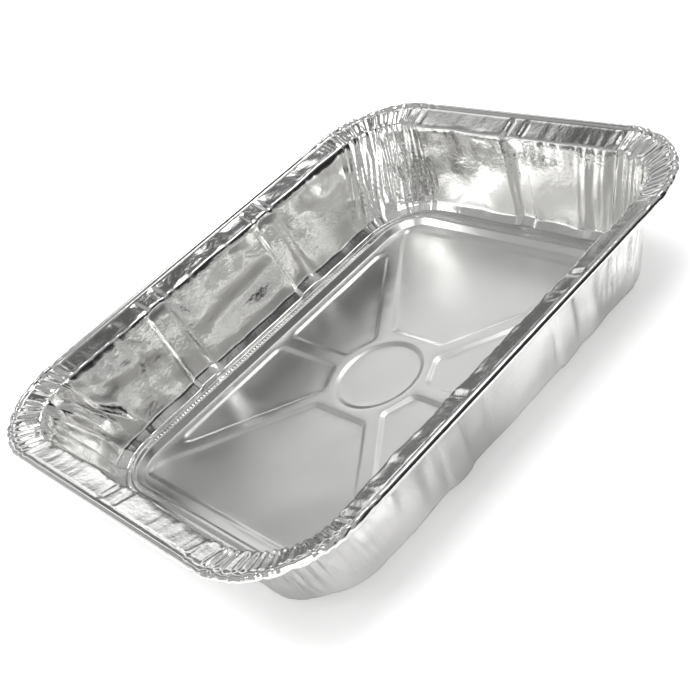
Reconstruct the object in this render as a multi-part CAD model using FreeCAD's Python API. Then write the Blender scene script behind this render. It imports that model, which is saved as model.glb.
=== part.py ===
import FreeCAD, Part
import math
import os
import random
from FreeCAD import Vector

# A pressed aluminium foil tray, all one sheet: a floor with raised ribs, a step up to a shoulder,
# drafted walls that gather at the corners, a sloping flange and a rolled bead. Millimetres, +Z up,
# the origin at the middle of the floor's underside, +X to one short side, +Y to one long side.

driving_sizes = {
    "tray_length": 324.0,         # over the bead
    "tray_width": 264.0,
    "tray_height": 65.0,
    "rim_radius": 54.0,           # corner of the bead's outer edge, seen from above
    "foil_gauge": 0.3,
    "bead_diameter": 4.0,
    "bead_turn": 285.0,           # degrees of roll, the cut edge ends under the flange
    "bead_facet": 45.0,           # degrees of roll that each narrow flat of the bead takes up
    "groove_width": 1.0,          # flat beside the bead
    "groove_depth": 1.5,          # below the bead's top
    "flange_width": 13.5,         # bead to lip
    "lip_drop": 5.0,              # lip below the bead's top
    "lip_round": 1.4,
    "wall_draft": 10.0,           # how far the wall leans in, lip to foot
    "foot_radius": 40.0,          # corner of the wall's foot, seen from above
    "foot_round": 2.0,
    "shoulder_width": 12.5,       # wall's foot to the top of the step
    "shoulder_height": 5.5,
    "step_run": 2.5,              # slope of the step, seen from above
    "base_radius": 20.0,          # corner of the floor, seen from above
    "panel_margin": 4.5,          # floor's edge to the sunk panels
    "panel_corner": 2.5,
    "disc_radius": 23.3,          # flat of the sunk disc
    "ring_crest": 3.5,            # between the disc and the panels
    "ring_edge_angle": 64.0,      # direction in which the ring's four slanted edges face
    "rib_crest": 6.3,
    "rib_height": 1.2,
    "rib_slope": 3.5,
    "diagonal_setback": 11.5,     # panels' corner to where the diagonal ribs' middle lines end
    "wall_rib_spacing": 88.0,     # between the two ribs of a long wall
    "wall_rib_width": 18.0,
    "wall_rib_slope": 2.5,
    "wall_rib_depth": 2.0,
    "wall_rib_fade": 6.0,         # the ribs run out this far below the lip
    "gather_depth": 1.3,
    "gathers_plus_plus": 21.0,    # folds in each corner, named by the signs of its X and Y
    "gathers_minus_plus": 13.0,
    "gathers_minus_minus": 18.0,
    "gathers_plus_minus": 15.0,
}

document = FreeCAD.newDocument("foil_tray_model")
sheet = document.addObject("Spreadsheet::Sheet", "Sizes")
for row, (alias, value) in enumerate(driving_sizes.items(), 1):
    sheet.set(f"A{row}", alias)
    sheet.set(f"B{row}", str(value))
    sheet.setAlias(f"B{row}", alias)
document.recompute()


def size(alias):
    return float(getattr(sheet, alias))


gauge = size("foil_gauge")
gather_depth = size("gather_depth")
wall_rib_depth = size("wall_rib_depth")
rib_slope = size("rib_slope")
floor_top = gauge
land_top = floor_top + size("rib_height")
half_length = size("tray_length") / 2
half_width = size("tray_width") / 2

# The corners in order round the tray: signs of X and Y, first angle, number of folds.
corners = [
    (1, 1, 0, round(size("gathers_plus_plus"))),
    (-1, 1, 90, round(size("gathers_minus_plus"))),
    (-1, -1, 180, round(size("gathers_minus_minus"))),
    (1, -1, 270, round(size("gathers_plus_minus"))),
]


# The section of the sheet, from the floor out to the groove beside the bead. A station's reach is
# measured outwards from the bead's outer edge, so it is negative inside the tray.
class Station:
    def __init__(self, reach, height, radius, gather=0.0, rib=0.0, level=False):
        self.reach = reach
        self.height = height
        self.radius = radius
        self.gather = gather      # share of the folds' depth here
        self.rib = rib            # share of the wall ribs' depth here
        self.level = level        # the station bounds a level face, so nothing lifts it
        self.normal = (0.0, -1.0)

    def moved(self, distance):
        under = Station(self.reach + self.shift[0] * distance, self.height + self.shift[1] * distance,
                        self.radius + self.shift[0] * distance, self.gather, self.rib, self.level)
        under.normal = self.normal
        return under


def set_normals(stations):
    """Give each station the direction of the sheet's underside and its mitred shift."""
    steps = []
    for first, second in zip(stations[:-1], stations[1:]):
        run, rise = second.reach - first.reach, second.height - first.height
        length = math.hypot(run, rise)
        steps.append((rise / length, -run / length))
    before = [(0.0, -1.0)] + steps
    after = steps + [(0.0, -1.0)]
    for station, one, two in zip(stations, before, after):
        mitre = 1 + one[0] * two[0] + one[1] * two[1]
        station.shift = ((one[0] + two[0]) / mitre, (one[1] + two[1]) / mitre)
        length = math.hypot(*station.shift)
        tilted = (station.shift[0] / length, station.shift[1] / length)
        station.normal = (1.0, 0.0) if station.level else tilted


def rim_station(reach, height, **shares):
    return Station(reach, height, size("rim_radius") + reach, **shares)


bead_radius = size("bead_diameter") / 2
bead_centre_height = size("tray_height") - bead_radius
groove_height = size("tray_height") - size("groove_depth")
groove_reach = -size("bead_diameter") - size("groove_width")
lip_reach = -size("bead_diameter") - size("flange_width")
lip_height = size("tray_height") - size("lip_drop")
foot_reach = lip_reach - size("wall_draft")
foot_height = size("shoulder_height") + size("foot_round")
step_reach = foot_reach - size("shoulder_width")
wall_bottom = Station(foot_reach, foot_height, size("foot_radius"), gather=0.5, rib=1.0)
wall_top = rim_station(lip_reach, lip_height - size("lip_round"), gather=0.9)
fade = size("wall_rib_fade") / (wall_top.height - wall_bottom.height)


def on_wall(share, **shares):
    """A station between the top of the wall, at 0, and its bottom, at 1."""
    def between(one, two):
        return one + (two - one) * share

    return Station(between(wall_top.reach, wall_bottom.reach),
                   between(wall_top.height, wall_bottom.height),
                   between(wall_top.radius, wall_bottom.radius), **shares)


flange_middle = (groove_reach + lip_reach + size("lip_round")) / 2
gathered = [
    Station(foot_reach - size("foot_round"), size("shoulder_height"),
            size("foot_radius") - size("foot_round"), gather=0.25, rib=1.0, level=True),
    wall_bottom,
    on_wall(fade, gather=1.0, rib=1.0),
    wall_top,
    rim_station(lip_reach + size("lip_round"), lip_height, gather=0.8),
    rim_station(flange_middle, (groove_height + lip_height) / 2, gather=0.6),
    rim_station(groove_reach, groove_height, level=True),
]
step = [
    Station(step_reach - size("step_run"), land_top, size("base_radius")),
    Station(step_reach, size("shoulder_height"), size("base_radius") + size("step_run")),
]
set_normals(step + gathered)


# Every fold has its own depth and place, the same at all heights and on both sides of the sheet.
fold_jitter = 0.25        # share of a half fold that a crease may stray
shallowest_fold = 0.55    # share of the deepest


def fold_pattern(folds, seed):
    chance = random.Random(seed)
    columns = 2 * folds
    pattern = [(0.0, 0.0)]
    for column in range(1, columns):
        turn = (column + chance.uniform(-fold_jitter, fold_jitter)) / columns
        depth = chance.uniform(shallowest_fold, 1.0) * (0.5 if column % 2 else -0.5)
        pattern.append((turn, depth))
    return pattern + [(1.0, 0.0)]


fold_patterns = [fold_pattern(corner[3], seed) for seed, corner in enumerate(corners, 1)]


def folded_points(station):
    """The closed run of points round the tray at one station, with its folds and wall ribs."""
    length, width = half_length + station.reach, half_width + station.reach
    points = []

    def place(x, y, lift, across, along):
        points.append(Vector(x + across * lift * station.normal[0],
                             y + along * lift * station.normal[0],
                             station.height + lift * station.normal[1]))

    half_rib = size("wall_rib_width") / 2
    shoulder = half_rib - size("wall_rib_slope")
    profile = [(-half_rib, 0.0), (-shoulder, 1.0), (shoulder, 1.0), (half_rib, 0.0)]
    rib_depth = wall_rib_depth * station.rib
    long_ribs = (-size("wall_rib_spacing") / 2, size("wall_rib_spacing") / 2)
    for (sign_x, sign_y, first, _), pattern in zip(corners, fold_patterns):
        centre_x = sign_x * (length - station.radius)
        centre_y = sign_y * (width - station.radius)
        for turn, depth in pattern:
            angle = math.radians(first + 90 * turn)
            across, along = math.cos(angle), math.sin(angle)
            place(centre_x + station.radius * across, centre_y + station.radius * along,
                  depth * gather_depth * station.gather, across, along)
        long_side = sign_x == sign_y
        for rib_place in long_ribs if long_side else (0.0,):
            for offset, share in profile:
                travel = rib_place + offset
                if long_side:
                    place(-sign_y * travel, sign_y * width, rib_depth * share, 0, sign_y)
                else:
                    place(sign_x * length, sign_x * travel, rib_depth * share, sign_x, 0)
    return points + [points[0]]


def flat_facets(lower, upper):
    """Two rows of points joined by flat facets, creased across where four points aren't level."""
    facets = []
    for a, b, c, d in zip(lower[:-1], lower[1:], upper[1:], upper[:-1]):
        flatness = abs((b - a).cross(c - a).normalize().dot(d - a))
        if flatness < 1e-6:
            facets.append(Part.Face(Part.makePolygon([a, b, c, d, a])))
        else:
            facets.append(Part.Face(Part.makePolygon([a, b, c, a])))
            facets.append(Part.Face(Part.makePolygon([a, c, d, a])))
    return facets


def smooth_edges(station):
    """The rounded rectangle at one station: an arc and a straight edge for each corner."""
    length, width = half_length + station.reach, half_width + station.reach
    ends = []
    arcs = []
    for sign_x, sign_y, first, _ in corners:
        centre = Vector(sign_x * (length - station.radius), sign_y * (width - station.radius),
                        station.height)
        on_arc = [centre + Vector(station.radius * math.cos(math.radians(first + turn)),
                                  station.radius * math.sin(math.radians(first + turn)), 0)
                  for turn in (0, 45, 90)]
        arcs.append(Part.Arc(*on_arc).toShape())
        ends.append((on_arc[0], on_arc[2]))
    edges = []
    for number, arc in enumerate(arcs):
        following = ends[(number + 1) % len(ends)][0]
        edges += [arc, Part.LineSegment(ends[number][1], following).toShape()]
    return edges


def joined_edges(one, two):
    """The face between two edges: conical between arcs about one axis, flat between lines."""
    start, end = one.firstVertex(True).Point, one.lastVertex(True).Point
    start_above, end_above = two.firstVertex(True).Point, two.lastVertex(True).Point
    if one.Curve.TypeId == "Part::GeomLine":
        return Part.Face(Part.makePolygon([start, end, end_above, start_above, start]))
    turn = math.degrees(one.LastParameter - one.FirstParameter)
    slope = Part.LineSegment(start, start_above).toShape()
    return slope.revolve(one.Curve.Center, one.Curve.Axis, turn)


def joined_rows(lower, upper):
    return [joined_edges(one, two) for one, two in zip(lower, upper)]


def level_face(*wires):
    return Part.makeFace([Part.Wire(wire) for wire in wires], "Part::FaceMakerBullseye")


# The floor: ribs, ring and margin stay high, and six panels and a disc are pressed down. Each
# sunk place is a polygon with round corners, and its slope runs down to the same polygon inset.
def line_crossing(one, two):
    """Where two lines meet, each given as its normal's angle and its distance from the origin."""
    (angle_a, reach_a), (angle_b, reach_b) = one, two
    a, b = math.radians(angle_a), math.radians(angle_b)
    spread = math.sin(b - a)
    return ((reach_a * math.sin(b) - reach_b * math.sin(a)) / spread,
            (reach_b * math.cos(a) - reach_a * math.cos(b)) / spread)


def panel_edges(sides, inset, height):
    """Edges of a convex panel whose sides, counter-clockwise, are outward normals and distances."""
    radius = size("panel_corner") + rib_slope - inset
    cores = [(angle, reach - size("panel_corner") - rib_slope) for angle, reach in sides]
    corner_arcs = []
    for number, side in enumerate(cores):
        following = cores[(number + 1) % len(cores)]
        x, y = line_crossing(side, following)
        turn = (following[0] - side[0]) % 360
        on_arc = [Vector(x + radius * math.cos(math.radians(side[0] + turn * share)),
                         y + radius * math.sin(math.radians(side[0] + turn * share)), height)
                  for share in (0, 0.5, 1)]
        corner_arcs.append(on_arc)
    edges = []
    for number, on_arc in enumerate(corner_arcs):
        following = corner_arcs[(number + 1) % len(corner_arcs)][0]
        edges += [Part.Arc(*on_arc).toShape(), Part.LineSegment(on_arc[2], following).toShape()]
    return edges


def turned(sides, mirror_x, mirror_y):
    """The same panel in another quarter of the floor."""
    changed = []
    for angle, reach in sides:
        angle = 180 - angle if mirror_x else angle
        angle = -angle if mirror_y else angle
        changed.append((angle % 360, reach))
    return changed[::-1] if mirror_x != mirror_y else changed


base_length = half_length + step[0].reach
base_width = half_width + step[0].reach
half_crest = size("rib_crest") / 2
ring_reach = size("disc_radius") + rib_slope + size("ring_crest")
panel_length = base_length - size("panel_margin")
panel_width = base_width - size("panel_margin")
diagonal = math.degrees(math.atan2(panel_width, panel_length - size("diagonal_setback")))
side_panel = [
    (diagonal - 90, -half_crest),
    (90, panel_width),
    (180, -half_crest),
    (180 + size("ring_edge_angle"), -ring_reach),
]
end_panel = [
    (0, panel_length),
    (90 + diagonal, -half_crest),
    (180, -ring_reach),
    (270 - diagonal, -half_crest),
]
panels = [turned(side_panel, mirror_x, mirror_y) for mirror_x in (False, True)
          for mirror_y in (False, True)]
panels += [turned(end_panel, mirror_x, False) for mirror_x in (False, True)]


def circle_edges(radius, height):
    return [Part.Circle(Vector(0, 0, height), Vector(0, 0, 1), radius).toShape()]


def floor_faces(edge_station, drop):
    """Land, slopes and sunk flats of one side of the sheet, drop below its upper side."""
    high, low = land_top - drop, floor_top - drop
    hollows = [(panel_edges(sides, 0, high), panel_edges(sides, rib_slope, low))
               for sides in panels]
    hollows.append((circle_edges(size("disc_radius") + rib_slope, high),
                    circle_edges(size("disc_radius"), low)))
    faces = [level_face(smooth_edges(edge_station), *[top for top, _ in hollows])]
    for top, bottom in hollows:
        faces += joined_rows(top, bottom)
        faces.append(level_face(bottom))
    return faces


# The bead: the sheet leaves the groove, rolls over the top and round to its cut edge.
def roll_start(roll_radius, height):
    """The angle, from straight inwards, at which a roll meets the groove at this height."""
    return math.degrees(math.asin((height - bead_centre_height) / roll_radius))


def roll_station(roll_radius, angle):
    reach = -bead_radius - roll_radius * math.cos(math.radians(angle))
    height = bead_centre_height + roll_radius * math.sin(math.radians(angle))
    return rim_station(reach, height)


outer_start = roll_start(bead_radius, groove_height)
inner_start = roll_start(bead_radius - gauge, groove_height - gauge)
roll_end = outer_start + size("bead_turn")
roll_step = size("bead_facet")
least_step = roll_step / 4        # no flat of the bead takes up less of the roll
roll_bends = [number * roll_step for number in range(1, math.ceil(360 / roll_step))
              if outer_start + least_step < number * roll_step < roll_end - least_step]


def sheet_side(drop, roll_radius, first_angle):
    """Every face of one side of the sheet, drop below the upper side."""
    side_step = [station.moved(drop) for station in step]
    side_rows = [folded_points(station.moved(drop)) for station in gathered]
    faces = floor_faces(side_step[0], drop)
    faces += joined_rows(smooth_edges(side_step[0]), smooth_edges(side_step[1]))
    foot_edges = Part.makePolygon(side_rows[0]).Edges
    faces.append(level_face(foot_edges, smooth_edges(side_step[1])))
    for lower, upper in zip(side_rows[:-1], side_rows[1:]):
        faces += flat_facets(lower, upper)
    groove_edges = Part.makePolygon(side_rows[-1]).Edges
    roll = [smooth_edges(roll_station(roll_radius, angle))
            for angle in (first_angle, *roll_bends, roll_end)]
    faces.append(level_face(roll[0], groove_edges))
    for lower, upper in zip(roll[:-1], roll[1:]):
        faces += joined_rows(lower, upper)
    return faces


faces = sheet_side(0.0, bead_radius, outer_start)
faces += sheet_side(gauge, bead_radius - gauge, inner_start)
faces += joined_rows(smooth_edges(roll_station(bead_radius, roll_end)),
                     smooth_edges(roll_station(bead_radius - gauge, roll_end)))

skin = Part.makeCompound(faces)
skin.sewShape(1e-4)
shells = skin.Shells
if len(shells) != 1 or not shells[0].isClosed():
    raise RuntimeError(f"the sheet doesn't close: {len(shells)} shells")
tray_solid = Part.makeSolid(shells[0])
if tray_solid.Volume < 0:
    tray_solid.reverse()

tray = document.addObject("Part::Feature", "FoilTray")
tray.Label = "foil_tray"
tray.Shape = tray_solid
tray.Placement = FreeCAD.Placement(Vector(0, 0, 0), FreeCAD.Rotation())
document.recompute()

for item in document.Objects:
    if "Invalid" in item.State or "Error" in item.State:
        raise RuntimeError(f"{item.Label} failed: {item.State}")
if tray.Shape.isNull() or not tray.Shape.isValid():
    raise RuntimeError("foil_tray has no valid shape")

os.makedirs("parts", exist_ok=True)
tray.Shape.exportStep("parts/foil_tray.step")
box = tray.Shape.optimalBoundingBox()
print(f"foil_tray {box.XLength:.2f} x {box.YLength:.2f} x {box.ZLength:.2f} mm, "
      f"from z {box.ZMin:.3f}, {tray.Shape.Volume / 1000:.2f} cm3, "
      f"{len(tray.Shape.Solids)} solid, {len(tray.Shape.Faces)} faces")
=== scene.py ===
import math
import random

import bmesh
import bpy
import numpy as np
from mathutils import Matrix, Vector, noise
from mathutils.geometry import delaunay_2d_cdt


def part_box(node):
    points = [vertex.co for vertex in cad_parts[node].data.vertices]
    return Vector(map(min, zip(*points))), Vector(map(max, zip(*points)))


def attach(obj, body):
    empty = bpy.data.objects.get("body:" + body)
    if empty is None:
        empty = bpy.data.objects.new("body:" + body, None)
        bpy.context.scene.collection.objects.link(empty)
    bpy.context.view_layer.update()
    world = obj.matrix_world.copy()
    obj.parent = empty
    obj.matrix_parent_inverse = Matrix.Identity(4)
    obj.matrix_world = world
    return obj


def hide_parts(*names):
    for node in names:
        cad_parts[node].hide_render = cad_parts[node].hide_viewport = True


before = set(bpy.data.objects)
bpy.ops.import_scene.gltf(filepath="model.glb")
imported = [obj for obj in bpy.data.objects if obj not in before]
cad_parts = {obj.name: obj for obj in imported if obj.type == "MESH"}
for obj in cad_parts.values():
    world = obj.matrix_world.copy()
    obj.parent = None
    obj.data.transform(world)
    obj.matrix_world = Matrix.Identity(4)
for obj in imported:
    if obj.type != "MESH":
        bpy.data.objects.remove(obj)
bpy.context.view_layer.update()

mm = 0.001
trayLow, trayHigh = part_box("foil_tray")
halfLength = (trayHigh.x - trayLow.x) / 2 / mm
halfWidth = (trayHigh.y - trayLow.y) / 2 / mm
trayHeight = trayHigh.z / mm
scene = bpy.context.scene
print("frame loaded", halfLength, halfWidth, trayHeight)


# The camera, fitted to the tray's rim, lip and foot.
cameraSizes = {
    "place": (-0.23976, -0.43934, 0.36524),
    "forward": (0.4322, 0.6865, -0.5848),
    "up": (0.6416, 0.2215, 0.7343),
    "lens": 57.99,
    "shiftX": -0.1115,
    "shiftY": -0.007,
}


def makeCamera(sizes):
    data = bpy.data.cameras.new("photoCamera")
    camera = bpy.data.objects.new("photoCamera", data)
    scene.collection.objects.link(camera)
    forward = Vector(sizes["forward"]).normalized()
    right = forward.cross(Vector(sizes["up"]).normalized()).normalized()
    up = right.cross(forward)
    turn = Matrix((right, up, -forward)).transposed().to_4x4()
    camera.matrix_world = Matrix.Translation(sizes["place"]) @ turn
    data.lens = sizes["lens"]
    data.shift_x = sizes["shiftX"]
    data.shift_y = sizes["shiftY"]
    scene.camera = camera


makeCamera(cameraSizes)
print("camera placed")


# The section of the sheet, in mm, from the floor's edge out to the bead's cut edge. Reach is
# counted outwards from the bead's outer edge, so it is negative inside the tray.
sectionSizes = {
    "gauge": 0.3,
    "rimRadius": 54.0,
    "beadRadius": 2.0,
    "beadTurn": 285.0,
    "beadRows": 10,
    "grooveReach": -5.0,
    "grooveDrop": 1.5,
    "flangeRows": 8,
    "lipReach": -17.5,
    "lipDrop": 5.0,
    "lipRound": 1.4,
    "lipMiddle": (0.45, 0.95),
    "wallRows": 14,
    "footReach": -27.5,
    "footRadius": 40.0,
    "footHeight": 7.5,
    "footRound": 6.5,
    "footCut": 0.65,
    "shoulderHeight": 5.5,
    "shoulderLine": ((0.25, 0.05), (0.5, 0.0), (0.72, 0.0), (0.8, 0.4), (0.88, 0.0)),
    "stepReach": -40.0,
    "stepRun": 2.5,
    "stepShares": (0.0, 0.12, 0.88, 1.0),
    "landHeight": 1.5,
    "baseRadius": 20.0,
    "cornerColumns": 118,
    "longColumns": 118,
    "shortColumns": 80,
}


class Row:
    def __init__(self, reach, height, radius, zone, share):
        self.reach = reach
        self.height = height
        self.radius = radius
        self.zone = zone
        self.share = share    # how far across its zone the row lies, 0 to 1


def between(low, high, share):
    return low + (high - low) * share


def sectionRows(sizes):
    rows = []
    base, step = sizes["stepReach"] - sizes["stepRun"], sizes["stepReach"]
    low, high = sizes["landHeight"], sizes["shoulderHeight"]
    stepRadius = sizes["baseRadius"] + sizes["stepRun"]
    for share in sizes["stepShares"]:
        eased = share ** 2 * (3 - 2 * share)
        rows.append(Row(between(base, step, share), between(low, high, eased),
                        between(sizes["baseRadius"], stepRadius, share), "step", share))

    wallTop = trayHeight - sizes["lipDrop"] - sizes["lipRound"]
    lean = (sizes["lipReach"] - sizes["footReach"]) / (wallTop - sizes["footHeight"])
    turn = math.pi / 2 - math.atan(lean)
    tangent = sizes["footRound"] * math.tan(turn / 2)
    bandReach = sizes["footReach"] + (high - sizes["footHeight"]) * lean - tangent
    bandRadius = sizes["footRadius"] + bandReach - sizes["footReach"]
    # a fine raised line runs along the shoulder close to the wall
    for share, raised in sizes["shoulderLine"]:
        rows.append(Row(between(step, bandReach, share), high + raised,
                        between(stepRadius, bandRadius, share), "shoulder", share))

    # The foot is a narrow slanting band with soft edges. Each row has its distance from the line
    # where shoulder and wall would meet, along the shoulder and up the wall.
    cut = sizes["footCut"]
    footBand = ((0.0, 1.0, 0.0), (0.08, cut, 0.0), (0.18, cut * 0.88, cut * 0.12),
                (0.5, cut * 0.5, cut * 0.5), (0.82, cut * 0.12, cut * 0.88), (0.92, 0.0, cut))
    for share, inward, upward in footBand:
        reach = bandReach + tangent * (1 - inward + upward * math.cos(turn))
        rows.append(Row(reach, high + tangent * upward * math.sin(turn),
                        sizes["footRadius"] + reach - sizes["footReach"], "foot", share))

    wallReach = bandReach + sizes["footRound"] * math.sin(turn)
    wallHeight = high + sizes["footRound"] * (1 - math.cos(turn))
    topRadius = sizes["rimRadius"] + sizes["lipReach"]
    for number in range(sizes["wallRows"] + 1):
        share = number / sizes["wallRows"]
        rows.append(Row(between(wallReach, sizes["lipReach"], share), between(wallHeight, wallTop, share),
                        between(sizes["footRadius"], topRadius, share), "wall", share))

    def rim(reach, height, zone, share):
        rows.append(Row(reach, height, sizes["rimRadius"] + reach, zone, share))

    across, up = sizes["lipMiddle"]
    rim(sizes["lipReach"] + across, wallTop + up, "lip", 0.4)
    flangeStart = sizes["lipReach"] + sizes["lipRound"]
    rim(flangeStart, wallTop + sizes["lipRound"], "lip", 1.0)
    lipHeight, grooveHeight = trayHeight - sizes["lipDrop"], trayHeight - sizes["grooveDrop"]
    for number in range(1, sizes["flangeRows"] + 1):
        share = number / sizes["flangeRows"]
        rim(between(flangeStart, sizes["grooveReach"], share), between(lipHeight, grooveHeight, share),
            "flange", share)

    bead = sizes["beadRadius"]
    centre = trayHeight - bead
    start = math.degrees(math.asin((grooveHeight - centre) / bead))
    for number in range(sizes["beadRows"] + 1):
        share = number / sizes["beadRows"]
        angle = math.radians(start + sizes["beadTurn"] * share)
        rim(-bead - bead * math.cos(angle), centre + bead * math.sin(angle), "bead", share)
    return rows


rows = sectionRows(sectionSizes)
cornerSigns = [(1, 1), (-1, 1), (-1, -1), (1, -1)]


# For each column: its corner's number, whether it is in that corner or on the side that follows,
# and how far along it is.
def columnTable(sizes):
    table = []
    for number in range(4):
        count = sizes["cornerColumns"]
        table += [(number, True, step / count) for step in range(count)]
        count = sizes["longColumns"] if number % 2 == 0 else sizes["shortColumns"]
        table += [(number, False, step / count) for step in range(count)]
    return table


columns = columnTable(sectionSizes)
columnAngle = np.array([math.radians(90 * (number + (way if inCorner else 1.0)))
                        for number, inCorner, way in columns])
outward = np.stack([np.cos(columnAngle), np.sin(columnAngle)], axis=1)
sideColumns = [np.array([number == side and not inCorner for number, inCorner, _ in columns])
               for side in range(4)]


# One row's closed rounded rectangle, as x and y in mm for each column.
def ringPoints(row):
    length, width = halfLength + row.reach, halfWidth + row.reach
    centres = [(x * (length - row.radius), y * (width - row.radius)) for x, y in cornerSigns]
    points = []
    for (number, inCorner, way), (across, along) in zip(columns, outward):
        x, y = centres[number]
        if not inCorner:
            nextX, nextY = centres[(number + 1) % 4]
            x, y = between(x, nextX, way), between(y, nextY, way)
        points.append((x + row.radius * across, y + row.radius * along))
    return np.array(points)


flat = np.stack([ringPoints(row) for row in rows])
lipRow = [row.zone for row in rows].index("lip")
lipSteps = np.linalg.norm(np.roll(flat[lipRow], -1, axis=0) - flat[lipRow], axis=1)
travel = np.concatenate([[0.0], np.cumsum(lipSteps)[:-1]])    # mm round the lip
girth = lipSteps.sum()
cornerStart = [travel[columns.index((number, True, 0.0))] for number in range(4)]
cornerLength = (sectionSizes["rimRadius"] + sectionSizes["lipReach"]) * math.pi / 2

# What is pushed: lift along the sheet's own normal, sideWays and ribPush straight outwards.
lift = np.zeros((len(rows), len(columns)))
sideWays = np.zeros_like(lift)
ribPush = np.zeros_like(lift)


# How far each column lies past a place on the lip, the short way round.
def pastPlace(place):
    return (travel - place + girth / 2) % girth - girth / 2


print("section and columns laid out", len(rows), len(columns))


# Gathers: where the wall turns a corner its spare foil lies in folds. Each crease has its own
# place, slant, wobble and depth, and the folds run on over the lip and across the flange.
gatherSizes = [
    {"folds": 19, "depth": 2.2, "slant": -12.0, "wobble": 2.0, "spread": 10.0, "seed": 1},
    {"folds": 8, "depth": 4.4, "slant": 9.0, "wobble": 5.0, "spread": 22.0, "seed": 2},
    {"folds": 18, "depth": 1.6, "slant": 2.0, "wobble": 1.6, "spread": 24.0, "seed": 3},
    {"folds": 24, "depth": 2.2, "slant": 1.0, "wobble": 1.2, "spread": 56.0, "seed": 4},
]
# Comb-like pleats cross the flange at the corners.
flangePleats = [
    {"folds": 24, "depth": 1.5, "slant": 1.0, "wobble": 0.5, "spread": 10.0, "seed": 21},
    {"folds": 17, "depth": 2.4, "slant": 1.0, "wobble": 1.2, "spread": 14.0, "seed": 22},
    {"folds": 32, "depth": 2.3, "slant": 1.5, "wobble": 0.6, "spread": 44.0, "seed": 23},
    {"folds": 25, "depth": 2.3, "slant": 1.0, "wobble": 0.6, "spread": 26.0, "seed": 24},
]
# The ranges that each crease draws from, in this order.
creaseRanges = {"shift": (-0.3, 0.3), "slant": (0.5, 1.3), "depth": (0.2, 1.0), "begin": (-0.55, 0.15)}
endFolds = 3.0    # creases over which the folds die out at each end
foldRise = 0.3    # the share of the wall's height over which a crease grows


def wander(seed, x, y):
    return noise.noise(Vector((seed * 17.31 + x, y, seed * 3.7)))


# How far each column's point is pushed at one level, 0 at the foot and 1 at the lip.
def gatherLift(sizes, start, level):
    seed = sizes["seed"]
    chance = random.Random(seed)
    count = sizes["folds"] * 2
    first, last = start - sizes["spread"] / 2, start + cornerLength + sizes["spread"] / 2
    places, depths = [first], [0.0]
    for number in range(1, count):
        shift, slant, deep, begin = [chance.uniform(*ends) for ends in creaseRanges.values()]
        place = first + (last - first) * (number + shift) / count
        place += sizes["slant"] * slant * (min(level, 1.0) - 0.5)
        place += sizes["wobble"] * wander(seed, number * 2.1, min(level, 1.05) * 2.2)
        fade = min(1.0, max(0.0, (level - begin) / foldRise))
        fade *= 0.75 + 0.5 * wander(seed + 9, number * 1.3, level * 3.0)
        fade *= min(1.0, number / endFolds, (count - number) / endFolds)
        places.append(place)
        depths.append(deep * sizes["depth"] * fade * (0.5 if number % 2 else -0.5))
    places.append(last)
    depths.append(0.0)
    order = np.argsort(places)
    return np.interp(pastPlace(first) + first, np.array(places)[order], np.array(depths)[order],
                     left=0.0, right=0.0)


# How strongly the folds show on a row, and the level at which they are read.
def gatherShare(row):
    if row.zone == "foot":
        return 0.2 + 0.2 * row.share, 0.0
    if row.zone == "wall":
        return 0.5 + 0.5 * min(1.0, row.share * 3), row.share
    if row.zone == "lip":
        return 0.9, 1.0
    if row.zone == "flange":
        return 0.5 * (1 - row.share), 1.0 + 0.2 * row.share
    return 0.0, 0.0


def foldCorners():
    for index, row in enumerate(rows):
        strength, level = gatherShare(row)
        if strength:
            for sizes, start in zip(gatherSizes, cornerStart):
                lift[index] += strength * gatherLift(sizes, start, level)
        if row.zone == "flange":
            strength = math.sin(math.pi * (0.15 + 0.72 * row.share))
            for sizes, start in zip(flangePleats, cornerStart):
                lift[index] += strength * gatherLift(sizes, start, level)


foldCorners()
print("gathers folded")


# Upright ribs pressed outwards in the walls. Each has the number of the corner that its side
# follows, its middle along that side, its width and its depth.
wallRibs = {
    "slopeLow": 1.2,
    "slopeHigh": 3.4,
    "fade": 0.86,
    "footShare": 0.65,
    "calm": 0.35,
    "calmMargin": 1.0,
    "ribs": [
        (0, -45.7, 17.0, 2.3),
        (0, 41.0, 17.0, 2.3),
        (2, 44.0, 17.0, 1.3),
        (2, -42.0, 17.0, 1.3),
        (3, -4.0, 15.0, 2.0),
        (1, 0.0, 15.0, 1.5),
    ],
}
ribCalm = np.ones(len(columns))    # the foil is less crumpled on the ribs


def pressRibs(sizes):
    for index, row in enumerate(rows):
        strength = 0.0
        if row.zone == "foot":
            strength = between(sizes["footShare"], 1.0, row.share)
        elif row.zone == "wall":
            strength = min(1.0, (1 - row.share) / (1 - sizes["fade"]))
        if strength <= 0:
            continue
        for side, middle, width, depth in sizes["ribs"]:
            place = flat[index, :, side % 2] - middle
            half = width / 2
            into = np.interp(place, [-half, sizes["slopeLow"] - half, half - sizes["slopeHigh"], half],
                             [0, 1, 1, 0])
            ribPush[index] += np.where(sideColumns[side], depth * strength * into, 0.0)
            ribCalm[sideColumns[side] & (np.abs(place) < half + sizes["calmMargin"])] = sizes["calm"]


pressRibs(wallRibs)
print("wall ribs pressed")


# The foot and the lip wave in and out, the wall is ragged under the lip, the flange has dimples,
# and the bead is crimped. Pairs are depth and pitch in mm, or in a Noise mean and gain.
rimSizes = {
    "footWave": (1.6, 19.0),
    "footFade": 3.0,
    "lipWave": (1.6, 26.0),
    "lipFlutter": 0.44,
    "flutter": (0.16, 4.5),
    "dimples": (0.352, 13.0),
    "ragged": (0.7, 7.0),
    "raggedNoise": (0.55, 1.3),
    "raggedStart": 0.72,
    "crimps": (0.36, 3.4),
    "crimpNoise": (0.6, -4.0),
    "lumps": (0.4, 2.6),
    "sideBead": 0.07,
    "cornerWide": 1.25,
    "cornerFade": 18.0,
}
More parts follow.
